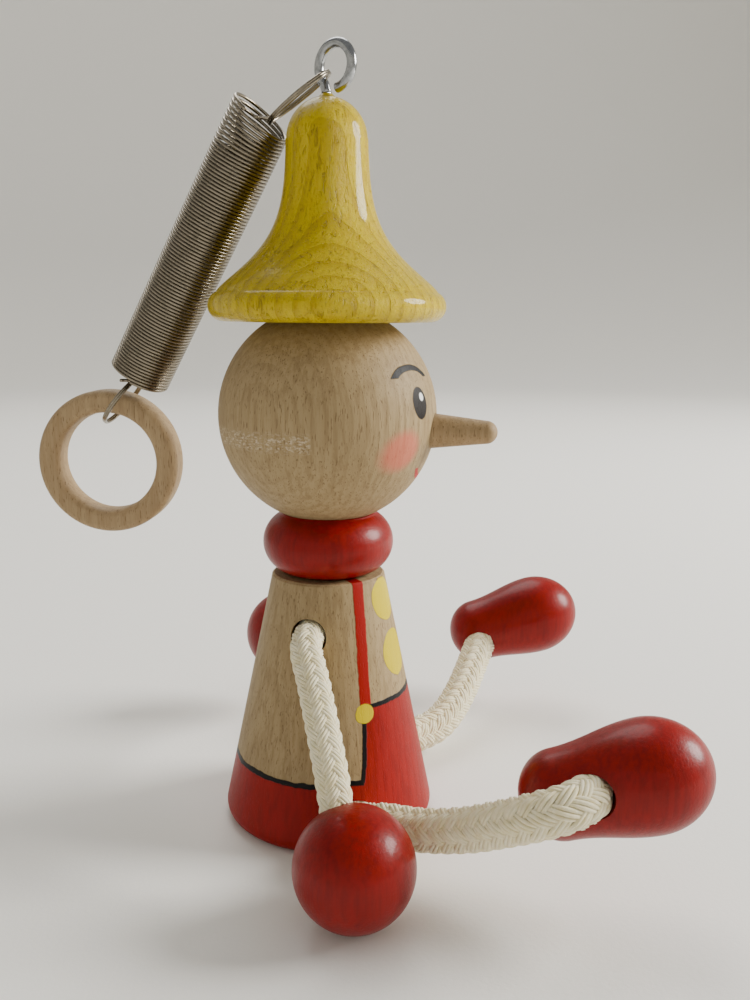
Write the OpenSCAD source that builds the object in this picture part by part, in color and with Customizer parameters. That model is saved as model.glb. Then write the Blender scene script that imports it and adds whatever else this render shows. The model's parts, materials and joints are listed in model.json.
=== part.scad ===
// Spring-hung wooden puppet: turned beech figure, cord limbs, extension spring and finger ring.
// It sits on its flat base at z = 0 and faces -Y. Its right side is -X.

/* [Body] */
// Diameter of the cone body at its base
base_d = 50; // [46:1:54]
// Diameter of the cone body at its top
body_top_d = 26.6; // [24:0.2:28]
// Height of the cone body
body_h = 60; // [58:1:62]
// Radius of the rounded bottom edge
base_edge_r = 3; // [1:0.5:4]
// Height of the shoulder hole's axis
shoulder_z = 48.2; // [47.6:0.2:49]
// Diameter of the shoulder hole
shoulder_hole_d = 8.4; // [8.2:0.2:9]
// Height of the hip hole's axis
hip_z = 7.4; // [7.2:0.2:8]
// Diameter of the hip hole
hip_hole_d = 10; // [9.8:0.2:10.6]

/* [Neck and head] */
// Outer diameter of the neck ring
neck_d = 30.6; // [28:0.2:32]
// Height of the neck ring
neck_h = 14.8; // [14:0.2:15.4]
// Diameter of the head ball
head_d = 50; // [49:0.5:51]
// Diameter of the nose peg at the head
nose_d = 8; // [7:0.5:9]
// How far the nose peg stands out of the head
nose_out = 14; // [8:1:18]
// Diameter of the two hidden dowels
dowel_d = 8; // [6:1:8]

/* [Hat] */
// Diameter of the brim
brim_d = 53.4; // [50:0.2:54]
// Diameter of the dome, at its waist
dome_d = 17.8; // [16:0.2:18]
// Height of the hat above the brim's underside
hat_h = 48; // [48:0.5:49]
// Thickness of the brim's rounded edge
brim_edge = 6.8; // [5:0.2:7]

/* [Screw eye] */
// Outer diameter of the eye
eye_od = 11.2; // [11.1:0.1:11.6]
// Wire diameter of the eye
eye_wire = 2.1; // [1.9:0.1:2.2]
// Length of the screw shank in the hat
screw_depth = 12; // [8:1:16]

/* [Spring and finger ring] */
// Outer diameter of the coil
coil_od = 15; // [14:0.1:15]
// Wire diameter of the spring
spring_wire = 0.8; // [0.6:0.1:0.8]
// Length of the coil along its middle
coil_len = 68.9; // [60.9:1:72.9]
// Lean of the coil from upright, at rest against the hat
coil_lean = 31; // [31:0.5:36]
// Outer diameter of the finger ring
ring_od = 36; // [34:0.5:38]
// Inner diameter of the finger ring
ring_id = 24.8; // [24.4:0.2:26]
// Thickness of the finger ring along its axis
ring_t = 8; // [6:0.5:8.5]

/* [Limbs] */
// Diameter of the hand balls
hand_d = 24.8; // [23:0.2:25]
// Length of a foot from heel to toe
foot_len = 39.6; // [36.6:1:41.6]
// Largest diameter of a foot, at the toe
toe_d = 23.2; // [22:0.2:24]
// Diameter of a foot at the heel
heel_d = 18.6; // [17.6:0.2:19.6]
// Diameter of the arm cord
arm_cord_d = 7; // [6:0.2:7.4]
// Diameter of the leg cord
leg_cord_d = 9; // [8:0.2:9.2]

/* [Hidden] */

// Smoothness of round parts, and of cord tubes
$fn = 96;
cord_sides = 10;
// Rings that a cord tube has between two points of its route
cord_steps = 2;
// Overlap that keeps a cut clean
eps = 0.01;
// Radial room of a glued dowel or peg, and of a cord glued into its bore
glue_gap = 0.05;
cord_gap = 0.2;

// Heights up the figure
// Radius of the dish in the neck ring's top, where the head rests
dish_r = 11.5;
head_z = body_h + neck_h + sqrt(pow(head_d / 2, 2) - pow(dish_r, 2));
// The hat's underside, the nose and the dowels' ends, from the head's centre
hat_rise = 21;
nose_fall = 3;
hat_z = head_z + hat_rise;
nose_z = head_z - nose_fall;
neck_dowel_z = [body_h - 5, head_z - 14];
hat_dowel_z = [hat_z - 12, hat_z + 14];
// The holes through the cone run along X, at these places along Y
shoulder_y = 0.8;
hip_y = -11;

// Colours
beech = [0.78, 0.65, 0.47];
yellow_paint = [0.93, 0.80, 0.05];
red_paint = [0.68, 0.07, 0.06];
cotton = [0.90, 0.86, 0.74];
steel = [0.62, 0.60, 0.56];
zinc = [0.75, 0.76, 0.76];

// Screw eye: its loop lies in an upright plane turned eye_turn from +X, beside the shank by eye_shift
eye_turn = 64;
eye_shift = 2.4;
eye_clear = 0.2;
eye_z = hat_z + hat_h + eye_od / 2 + eye_clear;
eye_at = [-eye_shift * cos(eye_turn), -eye_shift * sin(eye_turn)];

// Spring: it lies in an upright plane through the eye, turned spring_turn from +Y towards +X.
// Lengths and angles there are measured outward and up from the centre of the eye.
spring_turn = 10;
hook_r = (coil_od - spring_wire) / 2;
// Upper hook: drop below level, twist about its own line, seat in the eye, neck to the coil's end
hook_drop = 33.2;
upper_twist = 18;
hook_seat = 2.1;
hook_neck = 2.8;
hook_base = eye_z_point(hook_seat + 2 * hook_r + hook_neck, -hook_drop);
// The coil's top end is cut on a slant, and the hook starts off its middle
end_slant = 14;
hook_offset = 2.5;
end_dir = [-cos(coil_lean + end_slant), -sin(coil_lean + end_slant)];
coil_top = hook_base - end_dir * hook_offset;
coil_dir = [sin(coil_lean), -cos(coil_lean)];
coil_end = coil_top + coil_dir * coil_len;
// Lower hook: lean from upright, twist about its own line, gap to the coil
lower_lean = 40.5;
lower_twist = 14;
hook_gap = 0.1;
lower_base = coil_end + coil_dir * (hook_gap + spring_wire / 2);
hook_end = lower_base + [sin(lower_lean), -cos(lower_lean)] * 2 * hook_r;
// Finger ring: turn of its axis from +X, and how far the lower hook sits inside its hole
ring_turn = 7;
ring_seat = 2.2;
ring_drop = ring_id / 2 - ring_seat;

// Cord routes, from inside the body outward
right_arm_route = [
    [-0.5, shoulder_y, shoulder_z], [-8, shoulder_y, shoulder_z], [-14.6, shoulder_y, shoulder_z - 0.1],
    [-19.8, 0, 46.8], [-26, -3.3, 42.2], [-32, -6.7, 35.8], [-37, -9.8, 28.5], [-41, -12.2, 21.5],
    [-43.6, -13.9, 16]
];
left_arm_route = [
    [0.5, shoulder_y, shoulder_z], [8, shoulder_y, shoulder_z], [14.6, shoulder_y + 0.1, shoulder_z],
    [19.8, 2, 47.3], [26, 5.8, 44.8], [32, 10.2, 41.6], [38, 14.7, 37.3], [44, 19.3, 32.3], [50, 24, 27.3]
];
right_leg_route = [
    [-0.5, hip_y, hip_z], [-10, hip_y, hip_z], [-17.8, -11.1, 7.3],
    [-23.6, -13.5, 8.7], [-27.6, -19.5, 11.7], [-31, -28, 13.4],
    [-35, -37.5, 16.9], [-39.2, -46, 21.8], [-42, -52.4, 25.6], [-41.9, -57.4, 27.7], [-38.4, -61, 28.1],
    [-32.6, -62, 27], [-27, -61.8, 25.7]
];
left_leg_route = [
    [0.5, hip_y, hip_z], [9, hip_y, hip_z], [15.4, hip_y, hip_z],
    [21.2, -11.9, 7.3], [26, -15, 6.9], [30.2, -18.2, 6.8],
    [34.5, -21.6, 7.4], [40.5, -24.6, 9.4], [49, -27.1, 12.8], [59, -29.2, 17.6], [71, -31.2, 23.2]
];

// Hands and feet: a foot's place is its heel centre, with its turn and its upward tilt
right_hand_at = [-46, -17, hand_d / 2];
left_hand_at = [53, 26.4, 24.8];
right_foot_at = [-28.6, -56.9, 24];
right_foot_turn = 2;
right_foot_tilt = 18.3;
left_foot_at = [73.4, -29.7, 23];
left_foot_turn = 12;
left_foot_tilt = 17;

// A point at distance d and angle a from the eye's centre, in the spring's plane: [outward, up]
function eye_z_point(d, a) = [d * cos(a), eye_z + d * sin(a)];

function unit(v) = v / norm(v);

// Point at t on the smooth curve from p1 to p2
function curve_point(p0, p1, p2, p3, t) =
    (2 * p1 + (p2 - p0) * t + (2 * p0 - 5 * p1 + 4 * p2 - p3) * t * t
    + (3 * p1 - p0 - 3 * p2 + p3) * t * t * t) / 2;

function smooth_route(p) = [
    for (i = [0:len(p) - 2])
        for (k = [0:cord_steps - 1])
            curve_point(p[max(i - 1, 0)], p[i], p[i + 1], p[min(i + 2, len(p) - 1)], k / cord_steps),
    p[len(p) - 1]
];

function tangent(p, i) = unit(p[min(i + 1, len(p) - 1)] - p[max(i - 1, 0)]);

// Closed tube swept along a route; side is a direction that the route never points in
module cord_tube(route, d, side) {
    path = smooth_route(route);
    n = cord_sides;
    last = (len(path) - 1) * n;
    points = [
        for (i = [0:len(path) - 1])
            let (t = tangent(path, i), u = unit(cross(t, side)), v = cross(t, u))
                for (j = [0:n - 1])
                    path[i] + d / 2 * (u * cos(360 * j / n) + v * sin(360 * j / n))
    ];
    walls = [
        for (i = [0:len(path) - 2])
            for (j = [0:n - 1])
                let (a = i * n + j, b = i * n + (j + 1) % n)
                    each [[a, b, a + n], [b, b + n, a + n]]
    ];
    start_cap = [for (j = [0:n - 1]) n - 1 - j];
    end_cap = [for (j = [0:n - 1]) last + j];
    polyhedron(points = points, faces = concat(walls, [start_cap, end_cap]));
}

// Places children so that their +Z runs from a towards b
module aim(a, b) {
    d = unit(b - a);
    translate(a)
        rotate([0, acos(d[2]), atan2(d[1], d[0])])
            children();
}

// Places children drawn in [outward, up] of the spring's plane, with +X as the plane's normal
module in_spring_plane(at) {
    translate([eye_at[0], eye_at[1], 0])
        rotate([0, 0, -spring_turn])
            translate([0, at[0], at[1]])
                children();
}

module body() {
    base_line = [
        for (a = [0:15:90])
            [base_d / 2 - base_edge_r * (1 - sin(a)), base_edge_r * (1 - cos(a))]
    ];
    color(beech)
        difference() {
            rotate_extrude()
                polygon(concat([[0, 0]], base_line, [[body_top_d / 2, body_h], [0, body_h]]));
            translate([0, shoulder_y, shoulder_z])
                rotate([0, 90, 0])
                    cylinder(d = shoulder_hole_d, h = base_d, center = true);
            translate([0, hip_y, hip_z])
                rotate([0, 90, 0])
                    cylinder(d = hip_hole_d, h = 2 * base_d, center = true);
            translate([0, 0, neck_dowel_z[0] - eps])
                cylinder(d = dowel_d + 2 * glue_gap, h = body_h);
        }
}

module neck_ring() {
    edge_r = neck_h / 2;
    color(red_paint)
        difference() {
            translate([0, 0, body_h])
                rotate_extrude()
                    union() {
                        square([neck_d / 2 - edge_r, neck_h]);
                        intersection() {
                            translate([neck_d / 2 - edge_r, edge_r])
                                circle(r = edge_r);
                            square([neck_d, neck_h]);
                        }
                    }
            translate([0, 0, head_z])
                sphere(d = head_d + 2 * glue_gap);
            translate([0, 0, body_h - eps])
                cylinder(d = dowel_d + 2 * glue_gap, h = neck_h + 1);
        }
}

module neck_dowel() {
    color(beech)
        translate([0, 0, neck_dowel_z[0]])
            cylinder(d = dowel_d, h = neck_dowel_z[1] - neck_dowel_z[0]);
}

module head() {
    nose_depth = 10;
    color(beech)
        difference() {
            translate([0, 0, head_z])
                sphere(d = head_d);
            translate([-head_d, -head_d, hat_z])
                cube(2 * head_d);
            translate([0, 0, head_z - head_d])
                cylinder(d = dowel_d + 2 * glue_gap, h = neck_dowel_z[1] - head_z + head_d + glue_gap);
            translate([0, 0, hat_dowel_z[0] - glue_gap])
                cylinder(d = dowel_d + 2 * glue_gap, h = head_d);
            translate([0, nose_depth - head_d / 2, nose_z])
                rotate([90, 0, 0])
                    cylinder(d = nose_d + 2 * glue_gap, h = head_d);
        }
}

// Blunt tapered peg with a straight tenon in the head
module nose_peg() {
    tip_r = 2.6;
    tenon = 9;
    sunk = 1;
    root = head_d / 2 - sunk;
    color(beech)
        translate([0, -root, nose_z])
            rotate([90, 0, 0])
                rotate_extrude()
                    polygon(concat(
                        [[0, -tenon], [nose_d / 2, -tenon], [nose_d / 2, 0]],
                        [for (a = [0:15:90]) [tip_r * cos(a), nose_out + sunk - tip_r + tip_r * sin(a)]]
                    ));
}

module hat_dowel() {
    color(beech)
        translate([0, 0, hat_dowel_z[0]])
            cylinder(d = dowel_d, h = hat_dowel_z[1] - hat_dowel_z[0]);
}

// Bell hat: rounded brim edge, a flare that narrows up to the dome's waist, and a round top
module hat() {
    edge_r = brim_edge / 2;
    edge_x = brim_d / 2 - edge_r;
    waist = dome_d / 2;
    dome_h = 9;
    dome_z = hat_h - dome_h;
    flare_from = [edge_x + edge_r * cos(60), edge_r * (1 + sin(60))];
    flare_fall = 9.8;
    flare_power = 1.31;
    flare_step = 1.2;
    shank_hole = eye_wire + 0.2 + 2 * glue_gap;
    brim_line = [for (a = [-90:15:60]) [edge_x + edge_r * cos(a), edge_r * (1 + sin(a))]];
    flare_drop = flare_from[0] - waist;
    flare_line = [
        for (z = [flare_from[1] + 1:flare_step:dome_z])
            [waist + flare_drop * exp(-pow((z - flare_from[1]) / flare_fall, flare_power)), z]
    ];
    dome_line = [for (a = [3:9:84]) [waist * cos(a), dome_z + dome_h * sin(a)]];
    color(yellow_paint)
        difference() {
            translate([0, 0, hat_z])
                rotate_extrude()
                    polygon(concat([[0, 0]], brim_line, flare_line, dome_line, [[0, hat_h]]));
            translate([0, 0, hat_z - 1])
                cylinder(d = dowel_d + 2 * glue_gap, h = hat_dowel_z[1] - hat_z + 1 + glue_gap);
            translate([0, 0, hat_z + hat_h - screw_depth - glue_gap])
                cylinder(d = shank_hole, h = screw_depth + 1);
        }
}

// Bent-wire eye on a pointed screw shank; the wire turns out of the shank and comes round to its foot
module screw_eye() {
    eye_r = (eye_od - eye_wire) / 2;
    meets = acos(eye_shift / eye_r);
    open_angle = 34;
    shank_d = eye_wire + 0.2;
    joint_d = eye_wire + 0.3;
    point_h = 3;
    point_d = 0.4;
    low = hat_z + hat_h - screw_depth;
    top = eye_z - eye_r * sin(meets);
    color(zinc)
        union() {
            translate([eye_at[0], eye_at[1], eye_z])
                rotate([0, 0, eye_turn])
                    rotate([90, 0, 0])
                        rotate([0, 0, -meets])
                            rotate_extrude(angle = 360 - open_angle)
                                translate([eye_r, 0])
                                    circle(d = eye_wire, $fn = 32);
            translate([0, 0, top])
                sphere(d = joint_d, $fn = 32);
            translate([0, 0, low + point_h])
                cylinder(d = shank_d, h = top - low - point_h);
            translate([0, 0, low])
                cylinder(d1 = point_d, d2 = shank_d, h = point_h + eps);
        }
}

// Two-turn wire loop, standing on its base along +Z
module hook_loop() {
    translate([0, 0, hook_r])
        rotate([90, 0, 0])
            rotate_extrude()
                translate([hook_r, 0])
                    union() {
                        translate([0, spring_wire / 2])
                            circle(d = spring_wire, $fn = 24);
                        translate([0, -spring_wire / 2])
                            circle(d = spring_wire, $fn = 24);
                        square([spring_wire / 2, spring_wire], center = true);
                    }
}

// Straight wire across the end of the coil, off its middle, which joins it to its hook
module hook_bar(off) {
    rotate([0, 90, 0])
        cylinder(d = spring_wire, h = 2 * sqrt(hook_r * hook_r - off * off), center = true);
}

module spring_upper_hook() {
    neck_d = 1.5 * spring_wire;
    color(steel)
        in_spring_plane(hook_base)
            union() {
                rotate([90 - hook_drop, 0, 0])
                    rotate([0, 0, upper_twist]) {
                        translate([0, 0, hook_neck])
                            hook_loop();
                        cylinder(d = neck_d, h = hook_neck);
                    }
                rotate([coil_lean + end_slant, 0, 0])
                    translate([0, 0, spring_wire / 2])
                        hook_bar(hook_offset);
            }
}

module spring_coil() {
    color(steel)
        in_spring_plane(coil_end)
            rotate([coil_lean, 0, 0])
                difference() {
                    cylinder(d = coil_od, h = coil_len + coil_od);
                    translate([0, 0, -1])
                        cylinder(d = coil_od - 2 * spring_wire, h = coil_len + coil_od + 2);
                    translate([0, 0, coil_len])
                        rotate([end_slant, 0, 0])
                            translate([-coil_od, -2 * coil_od, 0])
                                cube([2 * coil_od, 4 * coil_od, 2 * coil_od]);
                }
}

module spring_lower_hook() {
    color(steel)
        in_spring_plane(lower_base)
            union() {
                rotate([lower_lean, 0, 0])
                    rotate([0, 0, lower_twist])
                        mirror([0, 0, 1])
                            hook_loop();
                rotate([coil_lean, 0, 0])
                    hook_bar(0);
            }
}

module hanging_ring() {
    edge_r = 2;
    wall = (ring_od - ring_id) / 2;
    color(beech)
        in_spring_plane([hook_end[0], hook_end[1] - ring_drop])
            rotate([0, 0, spring_turn + ring_turn])
                rotate([0, 90, 0])
                    rotate_extrude()
                        translate([ring_id / 2, -ring_t / 2])
                            union() {
                                translate([edge_r, 0])
                                    square([wall - 2 * edge_r, ring_t]);
                                translate([0, edge_r])
                                    square([wall, ring_t - 2 * edge_r]);
                                for (x = [edge_r, wall - edge_r])
                                    for (y = [edge_r, ring_t - edge_r])
                                        translate([x, y])
                                            circle(r = edge_r, $fn = 48);
                            }
}

// Ball with a blind bore that points back along the end of its cord
module hand(at, route) {
    tip = route[len(route) - 1];
    before = route[len(route) - 2];
    color(red_paint)
        difference() {
            translate(at)
                sphere(d = hand_d);
            aim(tip, before)
                translate([0, 0, -cord_gap])
                    cylinder(d = arm_cord_d + 2 * cord_gap, h = hand_d);
        }
}

// Pear-shaped foot from heel to toe, with a blind bore in its side for the leg cord
module foot(at, turn, tilt, route) {
    heel_r = heel_d / 2;
    toe_r = toe_d / 2;
    heel_end = 8.6;
    toe_end = 13;
    toe_from = foot_len - toe_end;
    tip = route[len(route) - 1];
    before = route[len(route) - 2];
    heel_line = [for (a = [0:10:80]) [heel_r * sin(a), heel_end * (1 - cos(a))]];
    side_line = [
        for (k = [0:12])
            [heel_r + (toe_r - heel_r) * (1 - cos(15 * k)) / 2, heel_end + (toe_from - heel_end) * k / 12]
    ];
    toe_line = [for (a = [10:10:90]) [toe_r * cos(a), toe_from + toe_end * sin(a)]];
    color(red_paint)
        difference() {
            translate(at)
                rotate([90 - tilt, 0, turn])
                    translate([0, 0, -heel_r])
                        rotate_extrude()
                            polygon(concat(heel_line, side_line, toe_line));
            aim(tip, before)
                translate([0, 0, -cord_gap])
                    cylinder(d = leg_cord_d + 2 * cord_gap, h = toe_d);
        }
}

module right_arm_cord() {
    color(cotton)
        cord_tube(right_arm_route, arm_cord_d, [0, 1, 0]);
}

module right_hand() {
    hand(right_hand_at, right_arm_route);
}

module left_arm_cord() {
    color(cotton)
        cord_tube(left_arm_route, arm_cord_d, [0, 1, 0]);
}

module left_hand() {
    hand(left_hand_at, left_arm_route);
}

module right_leg_cord() {
    color(cotton)
        cord_tube(right_leg_route, leg_cord_d, [0, 0, 1]);
}

module right_foot() {
    foot(right_foot_at, right_foot_turn, right_foot_tilt, right_leg_route);
}

module left_leg_cord() {
    color(cotton)
        cord_tube(left_leg_route, leg_cord_d, [0, 0, 1]);
}

module left_foot() {
    foot(left_foot_at, left_foot_turn, left_foot_tilt, left_leg_route);
}

body();
neck_ring();
neck_dowel();
head();
nose_peg();
hat_dowel();
hat();
screw_eye();
spring_upper_hook();
spring_coil();
spring_lower_hook();
hanging_ring();
right_arm_cord();
right_hand();
left_arm_cord();
left_hand();
right_leg_cord();
right_foot();
left_leg_cord();
left_foot();
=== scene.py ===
"""Spring-hung wooden puppet: turned beech figure, braided cord limbs, coil spring and finger ring.

Metres, +Z up, the puppet faces -Y. Turned pieces are lathed, cords are plaited from yarns, and the
spring is a wound wire. Every material is made of nodes in object coordinates.
"""

import math
import json

import bpy
import numpy as np
from mathutils import Matrix, Vector


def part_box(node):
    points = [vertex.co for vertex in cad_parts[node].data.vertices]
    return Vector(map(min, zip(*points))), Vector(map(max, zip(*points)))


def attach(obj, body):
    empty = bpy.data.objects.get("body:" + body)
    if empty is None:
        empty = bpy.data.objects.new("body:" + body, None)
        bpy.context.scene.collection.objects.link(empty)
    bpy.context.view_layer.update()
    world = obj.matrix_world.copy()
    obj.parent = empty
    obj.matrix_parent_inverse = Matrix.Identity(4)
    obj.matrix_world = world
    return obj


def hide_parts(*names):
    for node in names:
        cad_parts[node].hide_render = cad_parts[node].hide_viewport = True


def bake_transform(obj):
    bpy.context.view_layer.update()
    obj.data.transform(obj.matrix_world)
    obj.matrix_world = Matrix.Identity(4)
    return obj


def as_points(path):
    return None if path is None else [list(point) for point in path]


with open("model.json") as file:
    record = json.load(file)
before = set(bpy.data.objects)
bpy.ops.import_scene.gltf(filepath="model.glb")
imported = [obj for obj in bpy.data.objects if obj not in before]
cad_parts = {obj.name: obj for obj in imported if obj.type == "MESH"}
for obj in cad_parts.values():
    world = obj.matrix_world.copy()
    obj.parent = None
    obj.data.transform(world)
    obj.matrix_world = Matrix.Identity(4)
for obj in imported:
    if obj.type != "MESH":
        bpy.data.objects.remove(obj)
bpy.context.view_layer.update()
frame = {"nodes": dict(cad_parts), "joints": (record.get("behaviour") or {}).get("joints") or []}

MM = 0.001
UP = Vector((0, 0, 1))
JOINTS = {j["name"]: j for j in frame["joints"]}

# --- camera -------------------------------------------------------------------------------------

CAMERA_AT = Vector((-0.2140, -0.0555, 0.1207))
CAMERA_LENS = 34.6
CAMERA_TURN = 78.3
CAMERA_PITCH = 11.2
CAMERA_ROLL = 0.35


def make_camera():
    data = bpy.data.cameras.new("camera")
    data.lens = CAMERA_LENS
    data.clip_start = 0.01
    camera = bpy.data.objects.new("camera", data)
    bpy.context.collection.objects.link(camera)
    aim = Matrix.Rotation(math.radians(-CAMERA_TURN), 4, "Z")
    tilt = Matrix.Rotation(math.radians(90 - CAMERA_PITCH), 4, "X")
    roll = Matrix.Rotation(math.radians(CAMERA_ROLL), 4, "Z")
    camera.matrix_world = Matrix.Translation(CAMERA_AT) @ aim @ tilt @ roll
    bpy.context.scene.camera = camera


# --- mesh tools ---------------------------------------------------------------------------------

CREASE_ANGLE = math.radians(32)


def add_object(name, mesh):
    obj = bpy.data.objects.new(name, mesh)
    bpy.context.collection.objects.link(obj)
    return obj


def mesh_from(name, points, faces):
    mesh = bpy.data.meshes.new(name)
    mesh.from_pydata([tuple(p) for p in points], [], [tuple(f) for f in faces])
    mesh.validate()
    mesh.update()
    mesh.polygons.foreach_set("use_smooth", [True] * len(mesh.polygons))
    return add_object(name, mesh)


def lathe(name, outline, place=Matrix.Identity(4), segments=160):
    """Turns an outline of (radius, height) points, from axis to axis, into a closed mesh."""
    points, rings = [], []
    for radius, height in outline:
        if radius < 1e-7:
            rings.append([len(points)])
            points.append(place @ Vector((0, 0, height)))
            continue
        first = len(points)
        for k in range(segments):
            a = 2 * math.pi * k / segments
            points.append(place @ Vector((radius * math.cos(a), radius * math.sin(a), height)))
        rings.append(list(range(first, first + segments)))
    faces = []
    for low, high in zip(rings, rings[1:]):
        for k in range(segments):
            n = (k + 1) % segments
            if len(low) == 1:
                faces.append((low[0], high[n], high[k]))
            elif len(high) == 1:
                faces.append((low[k], low[n], high[0]))
            else:
                faces.append((low[k], low[n], high[n], high[k]))
    return mesh_from(name, points, faces)


def lathe_ring(name, outline, place, segments=160):
    """Turns a closed outline that doesn't meet the axis into a ring."""
    n = len(outline)
    points = [
        place @ Vector((r * math.cos(a), r * math.sin(a), z))
        for a in (2 * math.pi * k / segments for k in range(segments))
        for r, z in outline
    ]
    faces = []
    for k in range(segments):
        a, b = k * n, (k + 1) % segments * n
        for i in range(n):
            j = (i + 1) % n
            faces.append((a + i, b + i, b + j, a + j))
    return mesh_from(name, points, faces)


def arc(centre, radius, start, end, steps, high=None):
    """Outline points on an arc, in degrees; high makes it an ellipse of that half height."""
    high = radius if high is None else high
    points = []
    for k in range(steps + 1):
        a = math.radians(start + (end - start) * k / steps)
        points.append((centre[0] + radius * math.cos(a), centre[1] + high * math.sin(a)))
    return points


def run_to(start, end, steps):
    """Outline points on a straight run, without its start."""
    return [tuple(a + (b - a) * k / steps for a, b in zip(start, end)) for k in range(1, steps + 1)]


def place_along(origin, direction):
    """Matrix that puts +Z of a turned piece along a direction."""
    turn = UP.rotation_difference(Vector(direction).normalized()).to_matrix().to_4x4()
    return Matrix.Translation(origin) @ turn


def drill(obj, start, end, radius):
    """Cuts a round bore from start to end, and leaves crisp edges where surfaces meet."""
    start, end = Vector(start), Vector(end)
    length = (end - start).length
    bore = lathe(
        "bore", [(0, 0), (radius, 0), (radius, length), (0, length)], place_along(start, end - start), 64
    )
    cut = obj.modifiers.new("cut", "BOOLEAN")
    cut.operation = "DIFFERENCE"
    cut.solver = "EXACT"
    cut.object = bore
    bpy.context.view_layer.update()
    depsgraph = bpy.context.evaluated_depsgraph_get()
    mesh = bpy.data.meshes.new_from_object(obj.evaluated_get(depsgraph))
    obj.modifiers.clear()
    obj.data = mesh
    bpy.data.objects.remove(bore)
    mesh.polygons.foreach_set("use_smooth", [True] * len(mesh.polygons))
    mesh.set_sharp_from_angle(angle=CREASE_ANGLE)


def smooth_route(route, steps):
    """Catmull-Rom points through a route, the same curve that the CAD cord follows."""
    p = [Vector(q) for q in route]
    out = []
    for i in range(len(p) - 1):
        p0, p1, p2, p3 = p[max(i - 1, 0)], p[i], p[i + 1], p[min(i + 2, len(p) - 1)]
        for k in range(steps):
            t = k / steps
            out.append(
                (
                    2 * p1
                    + (p2 - p0) * t
                    + (2 * p0 - 5 * p1 + 4 * p2 - p3) * t * t
                    + (3 * p1 - p0 - 3 * p2 + p3) * t**3
                )
                / 2
            )
    out.append(p[-1])
    return out


class Rail:
    """A path by arc length, with frames that don't twist."""

    def __init__(self, points, side):
        self.p = np.array([tuple(q) for q in points])
        steps = np.linalg.norm(np.diff(self.p, axis=0), axis=1)
        self.s = np.concatenate([[0], np.cumsum(steps)])
        self.length = float(self.s[-1])
        tangents = np.gradient(self.p, self.s, axis=0)
        tangents /= np.linalg.norm(tangents, axis=1)[:, None]
        u = np.array(side, float)
        frames = []
        for t in tangents:
            u = u - t * np.dot(u, t)
            u /= np.linalg.norm(u)
            frames.append(u)
        self.t = tangents
        self.u = np.array(frames)

    def at(self, s):
        """Places, tangents and both side vectors at arc lengths s; past the ends it runs straight on."""
        inside = np.clip(s, 0, self.length)
        pick = lambda rows: np.stack([np.interp(inside, self.s, rows[:, k]) for k in range(3)], -1)
        t = pick(self.t)
        t /= np.linalg.norm(t, axis=-1, keepdims=True)
        u = pick(self.u)
        u -= t * np.sum(u * t, axis=-1, keepdims=True)
        u /= np.linalg.norm(u, axis=-1, keepdims=True)
        return pick(self.p) + t * (s - inside)[..., None], t, u, np.cross(t, u)


def tube_arrays(centre, side, other, half_side, half_other, sides):
    """Ring points of a tube with elliptic sections, and the faces of its walls, with open ends."""
    a = np.linspace(0, 2 * math.pi, sides, endpoint=False)
    rings = (
        centre[:, None, :]
        + side[:, None, :] * (half_side * np.cos(a))[None, :, None]
        + other[:, None, :] * (half_other * np.sin(a))[None, :, None]
    )
    n = len(centre)
    i = np.arange(n - 1)[:, None] * sides
    j = np.arange(sides)[None, :]
    k = (j + 1) % sides
    walls = np.stack([i + j, i + k, i + sides + k, i + sides + j], -1).reshape(-1, 4)
    return rings.reshape(-1, 3), walls, n


def tube(name, points, radius, sides, side=(0.3, 0.5, 0.81)):
    """Round wire along a list of points, closed at both ends."""
    rail = Rail(points, side)
    centre, _, u, v = rail.at(rail.s)
    rings, walls, n = tube_arrays(centre, u, v, radius, radius, sides)
    ends = [tuple(range(sides - 1, -1, -1)), tuple((n - 1) * sides + q for q in range(sides))]
    return mesh_from(name, rings, [tuple(w) for w in walls] + ends)


# --- node materials -----------------------------------------------------------------------------


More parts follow.
